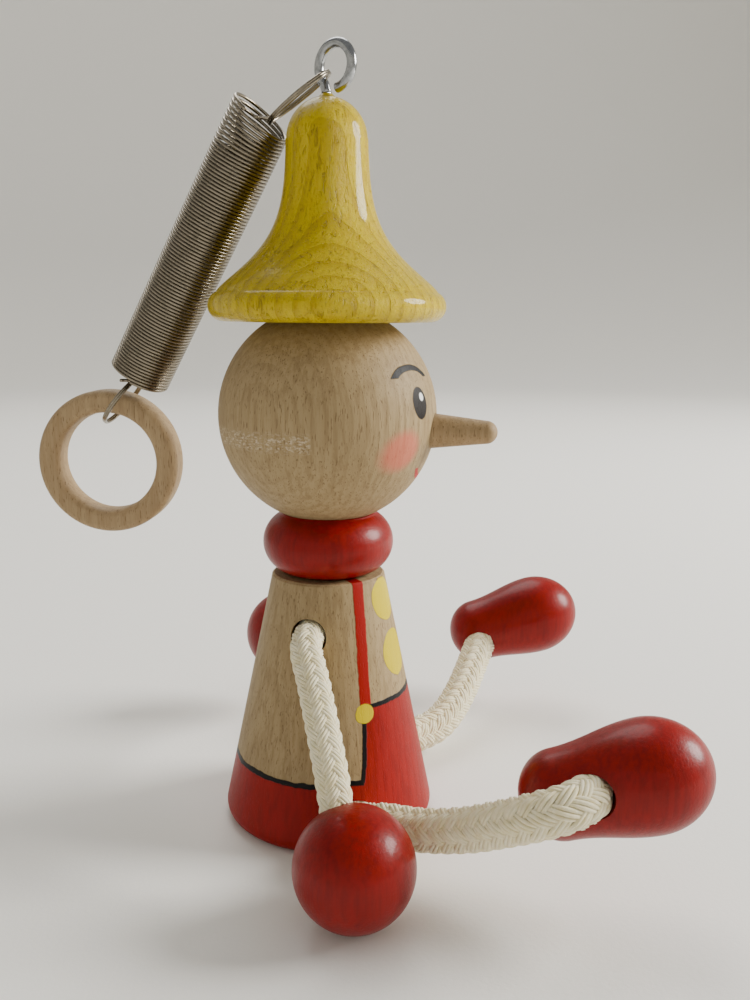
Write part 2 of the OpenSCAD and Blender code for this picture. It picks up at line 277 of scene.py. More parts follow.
class Paint:
    """A material under construction: small helpers that add nodes and return their sockets."""

    def __init__(self, name, **fixed):
        self.mat = bpy.data.materials.new(name)
        self.mat.use_nodes = True
        self.tree = self.mat.node_tree
        self.shader = self.tree.nodes["Principled BSDF"]
        for key, value in fixed.items():
            self.shader.inputs[key.replace("_", " ")].default_value = value
        coords = self.tree.nodes.new("ShaderNodeTexCoord").outputs["Object"]
        self.mm = self.vector("SCALE", coords, scale=1 / MM)

    def feed(self, socket, value):
        if isinstance(value, bpy.types.NodeSocket):
            self.tree.links.new(value, socket)
        else:
            socket.default_value = value

    def math(self, operation, a, b=0.0):
        node = self.tree.nodes.new("ShaderNodeMath")
        node.operation = operation
        self.feed(node.inputs[0], a)
        self.feed(node.inputs[1], b)
        return node.outputs[0]

    def vector(self, operation, a, b=(0, 0, 0), scale=1.0):
        node = self.tree.nodes.new("ShaderNodeVectorMath")
        node.operation = operation
        self.feed(node.inputs[0], a)
        self.feed(node.inputs[1], b)
        node.inputs[3].default_value = scale
        return node.outputs[1] if operation in ("LENGTH", "DOT_PRODUCT") else node.outputs[0]

    def split(self, value):
        node = self.tree.nodes.new("ShaderNodeSeparateXYZ")
        self.feed(node.inputs[0], value)
        return node.outputs

    def join(self, x, y, z):
        node = self.tree.nodes.new("ShaderNodeCombineXYZ")
        for socket, value in zip(node.inputs, (x, y, z)):
            self.feed(socket, value)
        return node.outputs[0]

    def noise(self, vector, scale, detail=3.0, roughness=0.55, distortion=0.0):
        node = self.tree.nodes.new("ShaderNodeTexNoise")
        self.feed(node.inputs["Vector"], vector)
        node.inputs["Scale"].default_value = scale
        node.inputs["Detail"].default_value = detail
        node.inputs["Roughness"].default_value = roughness
        node.inputs["Distortion"].default_value = distortion
        return node.outputs[0]

    def stretch(self, vector, scale):
        return self.vector("MULTIPLY", vector, scale)

    def rise(self, value, low, high):
        """0 below low, 1 above high, smooth between; swapped limits fall instead."""
        node = self.tree.nodes.new("ShaderNodeMapRange")
        node.interpolation_type = "SMOOTHSTEP"
        flip = low > high
        self.feed(node.inputs["Value"], value)
        node.inputs["From Min"].default_value = min(low, high)
        node.inputs["From Max"].default_value = max(low, high)
        node.inputs["To Min"].default_value = 1.0 if flip else 0.0
        node.inputs["To Max"].default_value = 0.0 if flip else 1.0
        return node.outputs[0]

    def mix(self, factor, a, b):
        node = self.tree.nodes.new("ShaderNodeMix")
        node.data_type = "RGBA"
        self.feed(node.inputs[0], factor)
        for socket, value in ((node.inputs[6], a), (node.inputs[7], b)):
            self.feed(socket, value if isinstance(value, bpy.types.NodeSocket) else (*value, 1.0))
        return node.outputs[2]

    def both(self, a, b):
        return self.math("MULTIPLY", a, b)

    def either(self, a, b):
        return self.math("MAXIMUM", a, b)

    def plus(self, a, b):
        return self.math("ADD", a, b)

    def minus(self, a, b):
        return self.math("SUBTRACT", a, b)

    def less(self, value):
        return self.minus(1.0, value)

    def off(self, value, centre):
        """How far a value is from a centre, either way."""
        return self.math("ABSOLUTE", self.minus(value, centre))

    def reach(self, a, b):
        """Length of a step with sides a and b."""
        return self.math("SQRT", self.plus(self.both(a, a), self.both(b, b)))

    def bump(self, height, depth):
        """Bump with its full height given in millimetres."""
        node = self.tree.nodes.new("ShaderNodeBump")
        node.inputs["Distance"].default_value = depth * MM
        self.feed(node.inputs["Height"], height)
        self.tree.links.new(node.outputs[0], self.shader.inputs["Normal"])

    def finish(self, colour, roughness=None):
        self.feed(self.shader.inputs["Base Color"], colour)
        if roughness is not None:
            self.feed(self.shader.inputs["Roughness"], roughness)
        return self.mat


# Grain, torn grain and varnish cracks: noise scales per millimetre along X, Y and Z
WANDER_SCALE = (0.035, 0.035, 0.012)
FLECK_SCALE = (3.4, 3.4, 0.42)
PORE_SCALE = (9.0, 9.0, 0.8)
TONE_SCALE = (0.06, 0.06, 0.03)
STREAK_SCALE = (0.9, 0.9, 0.05)
TORN_SCALE = (1.1, 1.1, 2.2)
CRACK_SCALE = (1.0, 1.0, 0.22)
RING_WANDER = 9.0


class Grain:
    """Beech in millimetres: growth rings about an upright tree axis, ray flecks and pores."""

    def __init__(self, p, heart, ring_gap=2.4):
        wander = p.noise(p.stretch(p.mm, WANDER_SCALE), 1.0, 3.0)
        x, y, _ = p.split(p.mm)
        distance = p.reach(p.minus(x, heart[0]), p.minus(y, heart[1]))
        distance = p.plus(distance, p.both(wander, RING_WANDER))
        phase = p.math("FRACT", p.math("DIVIDE", distance, ring_gap))
        self.rings = p.both(p.rise(phase, 0.35, 0.93), p.rise(phase, 1.0, 0.95))
        self.flecks = p.rise(p.noise(p.stretch(p.mm, FLECK_SCALE), 1.0, 2.0, 0.4), 0.60, 0.70)
        self.pores = p.noise(p.stretch(p.mm, PORE_SCALE), 1.0, 2.0, 0.6)
        self.tone = p.noise(p.stretch(p.mm, TONE_SCALE), 1.0, 2.0)
        self.streaks = p.noise(p.stretch(p.mm, STREAK_SCALE), 1.0, 3.0, 0.6)

    def colour(self, p, light, dark, fleck):
        deeper = tuple(0.8 * a + 0.2 * b for a, b in zip(light, dark))
        mixed = p.mix(p.rise(self.tone, 0.3, 0.7), light, deeper)
        mixed = p.mix(p.both(self.rings, 0.26), mixed, dark)
        mixed = p.mix(p.both(p.rise(self.streaks, 0.42, 0.66), 0.5), mixed, dark)
        mixed = p.mix(p.both(self.flecks, 0.7), mixed, fleck)
        return p.mix(p.both(p.rise(self.pores, 0.52, 0.75), 0.28), mixed, dark)

    def height(self, p):
        low = p.plus(p.both(self.flecks, 0.5), p.both(self.pores, 0.5))
        return p.less(p.plus(low, p.both(self.rings, 0.35)))


BEECH_LIGHT = (0.385, 0.285, 0.150)
BEECH_DARK = (0.22, 0.147, 0.068)
BEECH_FLECK = (0.15, 0.092, 0.042)
BEECH_TORN = (0.60, 0.49, 0.34)
NOSE_LIGHT = (0.37, 0.26, 0.14)
RING_LIGHT = (0.44, 0.315, 0.175)
RING_DARK = (0.29, 0.19, 0.095)
RED = (0.235, 0.003, 0.0015)
RED_DEEP = (0.11, 0.0015, 0.001)
RED_PATCH = (0.28, 0.006, 0.003)
TROUSER_RED = (0.29, 0.006, 0.003)
TROUSER_DEEP = (0.16, 0.003, 0.0015)
STRAP_RED = (0.29, 0.005, 0.003)
BLACK = (0.003, 0.003, 0.004)
EYE_BLACK = (0.012, 0.009, 0.008)
GLINT_WHITE = (0.9, 0.9, 0.88)
CHEEK_PINK = (0.62, 0.11, 0.075)
SMILE_RED = (0.42, 0.018, 0.012)
YELLOW = (0.60, 0.45, 0.0)
YELLOW_DEEP = (0.34, 0.225, 0.0)
YELLOW_STREAK = (0.50, 0.31, 0.0)
YELLOW_FLECK = (0.30, 0.17, 0.0)
YELLOW_CRACK = (0.26, 0.15, 0.0)
SPOT_YELLOW = (0.60, 0.47, 0.0)
COTTON_LIGHT = (0.97, 0.89, 0.64)
COTTON_DARK = (0.88, 0.79, 0.50)
COTTON_FIBRE = (0.60, 0.52, 0.32)
ZINC = (0.38, 0.39, 0.40)
ZINC_DULL = (0.27, 0.28, 0.29)
STEEL = (0.27, 0.235, 0.178)
STEEL_DULL = (0.225, 0.195, 0.145)
FLOOR_CLOTH = (0.88, 0.865, 0.82, 1.0)


def plain_beech(name, heart, light=BEECH_LIGHT, dark=BEECH_DARK):
    """Bare beech, sanded but not varnished."""
    p = Paint(name, Specular_IOR_Level=0.2)
    grain = Grain(p, heart)
    p.bump(grain.height(p), 0.05)
    rough = p.plus(0.44, p.both(grain.pores, 0.22))
    return p.finish(grain.colour(p, light, dark, BEECH_FLECK), rough)


# Face, in millimetres sideways and up from the head's centre: a plain doll's face
EYE_AT = (9.0, 4.0)
EYE_HALF = (2.5, 3.5)
BROW_RADIUS = 7.6
CHEEK_AT = (13.6, -6.0)
CHEEK_RADIUS = 4.2
SMILE_AT = (0.0, -6.0)
SMILE_RADIUS = 7.4
GLINT_SHIFT = (-0.7, 1.3)
GLINT_HALF = (0.75, 0.9)
BROW_LINE = 1.25
SMILE_LINE = 1.15
TORN_BAND = ((-6.5, -4.5), (-1.0, -3.0))


def head_wood(centre):
    """Beech with the equator's torn grain, and the painted face on the front."""
    p = Paint("head_beech", Specular_IOR_Level=0.16)
    grain = Grain(p, (-46, 14), ring_gap=2.2)
    wood = grain.colour(p, BEECH_LIGHT, BEECH_DARK, BEECH_FLECK)
    x, y, z = p.split(p.vector("SUBTRACT", p.mm, tuple(c / MM for c in centre)))
    front = p.rise(y, -2.0, -3.0)
    wobble = p.both(p.minus(p.noise(p.mm, 0.35, 2.0), 0.5), 0.7)
    side = p.math("ABSOLUTE", x)
    band = p.both(p.rise(z, *TORN_BAND[0]), p.rise(z, *TORN_BAND[1]))
    torn = p.both(band, p.rise(p.noise(p.stretch(p.mm, TORN_SCALE), 1.0, 4.0, 0.7), 0.47, 0.62))
    torn = p.both(torn, p.less(front))

    def oval(at, half, soft=0.12):
        du = p.math("DIVIDE", p.minus(side, at[0]), half[0])
        dv = p.math("DIVIDE", p.minus(z, at[1]), half[1])
        far = p.reach(du, dv)
        far = p.plus(far, p.math("DIVIDE", wobble, 4 * half[0]))
        return p.both(p.rise(far, 1 + soft, 1 - soft), front)

    def line(at, radius, width, across):
        du = p.minus(across, at[0])
        dv = p.minus(z, at[1])
        far = p.reach(du, dv)
        off = p.off(p.plus(far, p.both(wobble, 0.5)), radius)
        return p.both(p.rise(off, width / 2 + 0.12, width / 2 - 0.12), front)

    cheek = p.both(oval(CHEEK_AT, (CHEEK_RADIUS, CHEEK_RADIUS), 0.35), 0.62)
    eye = oval(EYE_AT, EYE_HALF, 0.05)
    glint = oval((EYE_AT[0] + GLINT_SHIFT[0], EYE_AT[1] + GLINT_SHIFT[1]), GLINT_HALF, 0.15)
    brow = p.both(line(EYE_AT, BROW_RADIUS, BROW_LINE, side), p.rise(z, EYE_AT[1] + 5.3, EYE_AT[1] + 5.6))
    mouth = line(SMILE_AT, SMILE_RADIUS, SMILE_LINE, x)
    smile = p.both(mouth, p.rise(z, SMILE_AT[1] - 4.6, SMILE_AT[1] - 4.9))
    colour = p.mix(p.both(torn, 0.9), wood, BEECH_TORN)
    colour = p.mix(cheek, colour, CHEEK_PINK)
    colour = p.mix(smile, colour, SMILE_RED)
    colour = p.mix(brow, colour, BLACK)
    colour = p.mix(eye, colour, EYE_BLACK)
    colour = p.mix(glint, colour, GLINT_WHITE)
    painted = p.either(p.either(eye, brow), smile)
    height = p.plus(p.both(grain.height(p), 0.5), p.both(painted, 0.9))
    height = p.plus(height, p.both(torn, p.noise(p.mm, 2.6, 3.0)))
    p.bump(height, 0.09)
    rough = p.plus(0.44, p.both(grain.pores, 0.22))
    rough = p.minus(p.plus(rough, p.both(torn, 0.25)), p.both(painted, 0.05))
    return p.finish(colour, rough)


# Painted clothes on the cone, in millimetres up and degrees round from the front; each spot has its
# height, radius and turn
HEM_Z = 16.0
BIB_Z = 32.5
BIB_ANGLE = 47.1
BIB_TOP = 59.4
BIB_SPREAD = math.radians(0.123)
BIB_WAIST = 30.9
BIB_FLARE = math.radians(0.19)
BUTTON_Z = 31.0
OUTLINE = 1.15
STRAP = 2.7
BUTTON_RADIUS = 2.3
SPOTS = ((54.7, 5.0, 11.0), (42.0, 5.4, 8.7))
BRUSH_EDGE = 0.14


def body_paint():
    """Beech cone with brush-painted red trousers, straps, black outline and yellow spots."""
    p = Paint("painted_beech", Specular_IOR_Level=0.16)
    grain = Grain(p, (-38, 26), ring_gap=2.3)
    wood = grain.colour(p, BEECH_LIGHT, BEECH_DARK, BEECH_FLECK)
    shaky = p.both(p.minus(p.noise(p.mm, 0.16, 2.0), 0.5), 1.6)
    fine = p.both(p.minus(p.noise(p.mm, 0.9, 2.0), 0.5), 0.35)
    x, y, z = p.split(p.mm)
    up = p.plus(z, p.plus(shaky, fine))
    radius = p.reach(x, y)
    heading = p.math("ARCTAN2", x, p.both(y, -1.0))
    angle = p.math("ABSOLUTE", heading)
    spread = p.both(p.either(p.minus(BIB_TOP, z), 0.0), BIB_SPREAD)
    flare = p.both(p.either(p.minus(BIB_WAIST, z), 0.0), BIB_FLARE)
    edge_angle = p.plus(math.radians(BIB_ANGLE), p.plus(spread, flare))
    across = p.both(p.minus(angle, edge_angle), radius)
    across = p.plus(across, p.plus(p.both(shaky, 0.5), fine))
    soft = BRUSH_EDGE

    inside = p.rise(across, soft, -soft)
    legs = p.rise(up, HEM_Z + soft, HEM_Z - soft)
    trousers = p.either(legs, p.both(inside, p.rise(up, BIB_Z + soft, BIB_Z - soft)))

    def stripe(value, centre, width):
        return p.rise(p.off(value, centre), width / 2 + soft, width / 2 - soft)

    hem = p.both(stripe(up, HEM_Z, OUTLINE), p.rise(across, -OUTLINE / 2, 0))
    between = p.both(p.rise(up, HEM_Z - 0.5, HEM_Z), p.rise(up, BIB_Z + 0.5, BIB_Z))
    edge = p.both(stripe(across, 0, OUTLINE), between)
    bib = p.both(stripe(up, BIB_Z, OUTLINE), inside)
    outline = p.either(p.either(hem, edge), bib)
    strap = p.both(stripe(across, -0.3, STRAP), p.rise(up, BIB_Z - 0.2, BIB_Z + 0.2))

    def spot(over, height, size):
        dz = p.minus(up, height)
        far = p.reach(over, dz)
        return p.rise(far, size + 0.15, size - 0.15)

    yellow = spot(across, BUTTON_Z, BUTTON_RADIUS)
    for height, size, turn in SPOTS:
        over = p.both(p.plus(heading, math.radians(turn)), radius)
        yellow = p.either(yellow, spot(over, height, size))

    streak = p.rise(grain.streaks, 0.35, 0.7)
    red = p.mix(p.both(streak, 0.5), TROUSER_RED, TROUSER_DEEP)
    red = p.mix(p.both(p.rise(grain.pores, 0.5, 0.75), 0.3), red, RED_DEEP)
    colour = p.mix(trousers, wood, red)
    colour = p.mix(strap, colour, STRAP_RED)
    colour = p.mix(outline, colour, BLACK)
    colour = p.mix(yellow, colour, SPOT_YELLOW)
    thick = p.either(p.either(strap, outline), yellow)
    height = p.plus(p.both(grain.height(p), 0.5), p.both(thick, 1.1))
    p.bump(height, 0.10)
    rough = p.plus(0.46, p.both(grain.pores, 0.2))
    rough = p.minus(rough, p.both(p.either(trousers, thick), 0.13))
    return p.finish(colour, rough)


def red_varnish(name, centre, axis):
    """Red stain and varnish on turned wood, with fine lines round the turning axis."""
    p = Paint(name, Coat_Weight=0.12, Coat_Roughness=0.16, Specular_IOR_Level=0.16)
    grain = Grain(p, (-52, 31), ring_gap=2.6)
    from_centre = p.vector("SUBTRACT", p.mm, tuple(c / MM for c in centre))
    along = p.vector("DOT_PRODUCT", from_centre, tuple(Vector(axis).normalized()))
    lines = p.noise(p.join(along, 0.0, 0.0), 2.4, 4.0, 0.75)
    patch = p.rise(p.noise(p.mm, 0.11, 3.0), 0.42, 0.62)
    peel = p.noise(p.mm, 1.5, 2.0, 0.5)
    colour = p.mix(p.both(p.rise(grain.streaks, 0.35, 0.7), 0.5), RED, RED_DEEP)
    colour = p.mix(p.both(p.rise(lines, 0.5, 0.75), 0.35), colour, RED_DEEP)
    colour = p.mix(p.both(patch, 0.25), colour, RED_PATCH)
    height = p.plus(p.both(p.both(lines, patch), 0.55), p.both(peel, 0.6))
    height = p.plus(height, p.both(grain.height(p), 0.3))
    p.bump(height, 0.075)
    return p.finish(colour, p.plus(0.30, p.both(lines, 0.16)))


def yellow_varnish():
    """Clear yellow stain under a gloss coat; the grain shows through in darker lines."""
    p = Paint("yellow_varnish", Coat_Weight=0.3, Coat_Roughness=0.1, Specular_IOR_Level=0.1)
    grain = Grain(p, (-30, -9), ring_gap=3.1)
    peel = p.noise(p.mm, 1.1, 3.0, 0.6)
    colour = p.mix(p.both(grain.rings, 0.5), YELLOW, YELLOW_DEEP)
    colour = p.mix(p.both(p.rise(grain.streaks, 0.4, 0.7), 0.4), colour, YELLOW_STREAK)
    colour = p.mix(p.both(grain.flecks, 0.3), colour, YELLOW_FLECK)
    cracks = p.rise(p.noise(p.stretch(p.mm, CRACK_SCALE), 1.0, 3.0, 0.6, 0.6), 0.60, 0.68)
    colour = p.mix(p.both(cracks, 0.35), colour, YELLOW_CRACK)
    height = p.plus(p.both(grain.height(p), 0.6), p.both(peel, 0.6))
    height = p.minus(height, p.both(cracks, 0.7))
    p.bump(height, 0.55)
    return p.finish(colour, p.plus(0.22, p.both(peel, 0.14)))


def cotton():
    """Unbleached cotton yarn: fine twisted fibres, a little uneven in tone."""
    p = Paint("cotton_cord", Roughness=0.92, Sheen_Weight=0.35, Sheen_Roughness=0.5, Specular_IOR_Level=0.2)
    p.shader.inputs["Subsurface Weight"].default_value = 0.14
    p.shader.inputs["Subsurface Radius"].default_value = (0.0022, 0.0018, 0.0012)
    fibres = p.noise(p.mm, 7.0, 3.0, 0.7)
    tone = p.noise(p.mm, 0.5, 2.0)
    colour = p.mix(p.rise(tone, 0.35, 0.7), COTTON_LIGHT, COTTON_DARK)
    colour = p.mix(p.both(p.rise(fibres, 0.5, 0.8), 0.3), colour, COTTON_FIBRE)
    p.bump(fibres, 0.09)
    return p.finish(colour)


def bright_metal(name, colour, tint, roughness, scale=1.2):
    """Plated or drawn wire with faint draw marks and dull patches."""
    p = Paint(name, Metallic=1.0)
    marks = p.noise(p.mm, scale, 4.0, 0.6)
    mixed = p.mix(p.rise(marks, 0.35, 0.7), colour, tint)
    p.bump(p.noise(p.mm, 6.0, 2.0), 0.01)
    return p.finish(mixed, p.plus(roughness, p.both(marks, 0.18)))


def dress(obj, material, body, slot, *nodes):
    """Gives a piece its material and its body, and hides the CAD nodes it stands for; the slot is not used.
    """
    obj.data.materials.clear()
    obj.data.materials.append(material)
    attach(obj, body)
    if nodes:
        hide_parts(*nodes)
    return obj


# --- turned pieces ------------------------------------------------------------------------------

SHOULDER_HOLE = 4.2 * MM
HIP_HOLE = 5.0 * MM
SHOULDER_AT = (0.8 * MM, 48.2 * MM)
HIP_AT = (-11 * MM, 7.4 * MM)
ARM_CORD = 7 * MM
LEG_CORD = 9 * MM

# The cone's top radius, its rounded base edge, the side's lean in degrees, and the bevel at its top
CONE_TOP = 13.3 * MM
CONE_EDGE = 3 * MM
CONE_LEAN = 12
CONE_RIM = 0.5 * MM


def make_body():
    _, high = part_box("body")
    base, height = high.x, high.z
    outline = [(0, 0), (base - 3 * CONE_EDGE, 0)]
    outline += arc((base - CONE_EDGE, CONE_EDGE), CONE_EDGE, -90, CONE_LEAN, 12)
    outline += run_to(outline[-1], (CONE_TOP, height - CONE_RIM), 40)
    outline += [(CONE_TOP - CONE_RIM, height), (0, height)]
    body = lathe("cone_body", outline, segments=192)
    reach = 2 * base
    for (y, z), hole in ((SHOULDER_AT, SHOULDER_HOLE), (HIP_AT, HIP_HOLE)):
        drill(body, (-reach, y, z), (reach, y, z), hole)
    dress(body, body_paint(), "figure", "painted_beech", "body")


# The nose sits a little below the head's middle, in a blind bore
NOSE_FALL = 3 * MM
NOSE_BORE = 8 * MM
NOSE_GAP = 0.08 * MM
NOSE_STRAIGHT = 9 * MM
NOSE_TIP = 2.6 * MM
BORE_START = 5 * MM


def head_ball():
    """Centre and radius of the head."""
    low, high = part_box("head")
    nose_low, nose_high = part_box("nose_peg")
    return Vector((0, 0, (nose_low.z + nose_high.z) / 2 + NOSE_FALL)), (high.x - low.x) / 2


# The bead's full height before it is dished, and where the dish cuts its round edge, in degrees
NECK_HEIGHT = 14.8 * MM
NECK_LIP = 66
DISH_GAP = 0.05 * MM


def make_neck_ring():
    """Round bead with a dish on top, in which the head sits."""
    low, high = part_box("neck_ring")
    edge = NECK_HEIGHT / 2
    middle = high.x - edge
    centre, radius = head_ball()
    dish = radius + DISH_GAP
    outline = [(0, low.z), (middle / 2, low.z)]
    outline += arc((middle, low.z + edge), edge, -90, NECK_LIP, 28)
    lip = math.degrees(math.asin(outline[-1][0] / dish))
    outline += arc((0, centre.z), dish, lip - 90, -90, 11)
    ring = lathe("neck_bead", outline)
    dress(ring, red_varnish("red_neck", (0, 0, low.z), UP), "figure", "red_paint", "neck_ring")


def make_head():
    """Ball with a flat top under the hat, and the nose's bore."""
    _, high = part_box("head")
    centre, radius = head_ball()
    flat = math.degrees(math.asin((high.z - centre.z) / radius))
    outline = arc((0, centre.z), radius, -90, flat, 109) + [(0, high.z)]
    head = lathe("head_ball", outline, segments=220)
    nose_low, nose_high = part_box("nose_peg")
    bore = (nose_high.x - nose_low.x) / 2 + NOSE_GAP
    nose_z = centre.z - NOSE_FALL
    drill(head, (0, -radius - BORE_START, nose_z), (0, -radius + NOSE_BORE, nose_z), bore)
    dress(head, head_wood(centre), "figure", "head_beech", "head")


def make_nose():
    low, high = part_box("nose_peg")
    radius, length = (high.x - low.x) / 2, high.y - low.y
    outline = [(0, 0), (radius, 0), (radius, NOSE_STRAIGHT)]
    outline += run_to(outline[-1], (NOSE_TIP, length - NOSE_TIP), 16)
    outline += arc((0, length - NOSE_TIP), NOSE_TIP, 8, 82, 10) + [(0, length)]
    place = place_along((0, high.y, (low.z + high.z) / 2), (0, -1, 0))
    nose = lathe("nose_peg_turned", outline, place, 96)
    dress(nose, plain_beech("nose_beech", (-60, 40), NOSE_LIGHT), "figure", "beech", "nose_peg")


# The hat's outline: a round brim edge, a flare that falls off to the waist, and a dome
HAT_EDGE = 3.4 * MM
HAT_LIP = 64
HAT_FALL = 9.8 * MM
HAT_POWER = 1.31
HAT_WAIST = 8.9 * MM
HAT_DOME = 9 * MM
# Varnish that ran together round the screw eye: radius and height in millimetres
VARNISH_DROP = ((0, -0.8), (2.2, -0.5), (1.7, 0.0), (1.4, 0.3), (1.2, 0.5), (0, 0.55))


def make_hat():
    low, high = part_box("hat")
    height = high.z - low.z
    edge_x = high.x - HAT_EDGE
    dome_z = height - HAT_DOME
    outline = [(0, 0), (edge_x * 0.6, 0)] + arc((edge_x, HAT_EDGE), HAT_EDGE, -90, HAT_LIP, 22)
    lip, lip_z = outline[-1]
    steps = 56
    for k in range(1, steps + 1):
        z = lip_z + (dome_z - lip_z) * k / steps
        flare = math.exp(-(((z - lip_z) / HAT_FALL) ** HAT_POWER))
        outline.append((HAT_WAIST + (lip - HAT_WAIST) * flare, z))
    step = 90 / 24
    outline += arc((0, dome_z), HAT_WAIST, step, 90 - step, 22, high=HAT_DOME) + [(0, height)]
    hat = lathe("bell_hat", outline, Matrix.Translation((0, 0, low.z)), 192)
    varnish = yellow_varnish()
    dress(hat, varnish, "figure", "yellow_paint", "hat")
    blob = [(radius * MM, up * MM) for radius, up in VARNISH_DROP]
    drop = lathe("varnish_drop", blob, Matrix.Translation((0, 0, high.z)), 48)
    dress(drop, varnish, "figure", "yellow_paint")


# Finger ring: outer and inner radius, half its height, and its edge's radius
RING_OUTER = 18 * MM
RING_INNER = 12.4 * MM
RING_HALF = 4 * MM
RING_EDGE = 2 * MM


def make_finger_ring():
    low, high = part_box("hanging_ring")
    middle, half = (RING_OUTER + RING_INNER) / 2, (RING_OUTER - RING_INNER) / 2
    outline = []
    for out, up, start in ((1, 1, 0), (-1, 1, 90), (-1, -1, 180), (1, -1, 270)):
        corner = (middle + out * (half - RING_EDGE), up * (RING_HALF - RING_EDGE))
        outline += arc(corner, RING_EDGE, start, start + 90, 8)
    place = place_along((low + high) / 2, JOINTS["ring_swing"]["axis"])
    ring = lathe_ring("finger_ring_wood", outline, place, 200)
    wood = plain_beech("ring_wood", (40, 110), RING_LIGHT, RING_DARK)
    dress(ring, wood, "finger_ring", "ring_wood", "hanging_ring")


# --- screw eye and spring -----------------------------------------------------------------------

# Screw eye: its loop's turn about Z, and where the bend starts and ends, are in degrees
EYE = Vector(JOINTS["spring_swing"]["pos_m"])
EYE_R = 4.55 * MM
EYE_WIRE = 1.1 * MM
EYE_TURN = 64
EYE_FIRST = -48
EYE_LAST = 266
EYE_STEP = 6
EYE_NECK = 0.9 * MM
SHANK_HEIGHTS = (4, 8, 12)
# Spring: radii of its wire and of its turns, the hooks' places and twists, and the coil's slanted top
SPRING_WIRE = 0.4 * MM
HOOK_R = 7.1 * MM
HOOK_SEAT = 2.1 * MM
HOOK_NECK = 2.8 * MM
HOOK_DROP = math.radians(33.2)
UPPER_TWIST = math.radians(18)
LOWER_LEAN = math.radians(40.5)
LOWER_TWIST = math.radians(14)
END_SLANT = math.radians(14)
HOOK_OFFSET = 2.5 * MM
HOOK_TURNS = 2
WIRE_PITCH = 2.05 * SPRING_WIRE
FAN_TURNS = 10
COIL_LENGTH = 68.9 * MM
COIL_GAP = 0.1 * MM
ACROSS = Vector(JOINTS["spring_swing"]["axis"])
OUT = Vector((-ACROSS.y, ACROSS.x, 0))
COIL_DIR = Vector(JOINTS["spring_stretch"]["axis"])
COIL_LEAN = math.atan2(COIL_DIR.dot(OUT), -COIL_DIR.z)


def plane_dir(angle):
    """Direction in the spring's plane, from level outward at 0 to straight up at a right angle."""
    return OUT * math.cos(angle) + UP * math.sin(angle)


HOOK_DIR = plane_dir(-HOOK_DROP)
HOOK_BASE = EYE + HOOK_DIR * (HOOK_SEAT + 2 * HOOK_R + HOOK_NECK)
COIL_TOP = HOOK_BASE + plane_dir(COIL_LEAN + END_SLANT) * HOOK_OFFSET
COIL_END = COIL_TOP + COIL_DIR * COIL_LENGTH
LOWER_BASE = COIL_END + COIL_DIR * (SPRING_WIRE + COIL_GAP)
LOWER_DIR = plane_dir(LOWER_LEAN - math.pi / 2)


def make_screw_eye():
    """Shank up out of the hat, then a loop whose end stands a little off the shank."""
    turn = math.radians(EYE_TURN)
    side = Vector((math.cos(turn), math.sin(turn), 0))
    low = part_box("screw_eye")[0].z
    points = [Vector((0, 0, low + up * MM)) for up in SHANK_HEIGHTS]
    points.append(Vector((0, 0, EYE.z - EYE_R - EYE_NECK)))
    for a in range(EYE_FIRST, EYE_LAST + 1, EYE_STEP):
        r = math.radians(a)
        points.append(EYE + side * (EYE_R * math.cos(r)) + UP * (EYE_R * math.sin(r)))
    eye = tube("eye_wire", smooth_route(points, 3), EYE_WIRE, 20)
    dress(eye, bright_metal("zinc_plate", ZINC, ZINC_DULL, 0.08), "figure", "zinc", "screw_eye")


def hook_points(base, along, twist, neck, half_bar):
    """Wire from the coil's rim across its end, then round a loop that neck draws out towards the coil."""
    beside = along.cross(ACROSS)
    across = ACROSS * math.cos(twist) + beside * math.sin(twist)
    normal = across.cross(along)
    points = [
        base - ACROSS * half_bar,
        base - ACROSS * half_bar * 0.7 + along * WIRE_PITCH * 0.2,
        base - ACROSS * half_bar * 0.35 - normal * WIRE_PITCH * 0.5 + along * WIRE_PITCH * 0.3,
    ]
    centre = base + along * (HOOK_R + neck)
    steps = 48
    for k in range(2, HOOK_TURNS * steps + 1):
        a = 2 * math.pi * k / steps
        aside = (k / (HOOK_TURNS * steps) - 0.5) * WIRE_PITCH * HOOK_TURNS * 0.55
        reach = HOOK_R * math.cos(a) + neck * max(0.0, math.cos(a))
        points.append(centre + across * (HOOK_R * math.sin(a)) - along * reach + normal * aside)
    return points


def coil_points():
    """Close-wound turns; the top ones fan open to one side, so that the coil's end is slanted."""
    steps = 40
    close = 2 * SPRING_WIRE
    fanned = close + HOOK_R * END_SLANT / FAN_TURNS
    turns = FAN_TURNS + (COIL_LENGTH - close - FAN_TURNS * fanned) / close
    points = []
    for k in range(int(turns * steps) + 1):
        n = k / steps
        down = SPRING_WIRE + min(n, FAN_TURNS) * fanned + max(n - FAN_TURNS, 0) * close
        tilt = END_SLANT * max(0.0, 1 - n / FAN_TURNS)
        a = 2 * math.pi * n + math.pi
        lean = plane_dir(COIL_LEAN + tilt)
        centre = COIL_TOP + COIL_DIR * down
        points.append(centre + ACROSS * (HOOK_R * math.cos(a)) - lean * (HOOK_R * math.sin(a)))
    return points


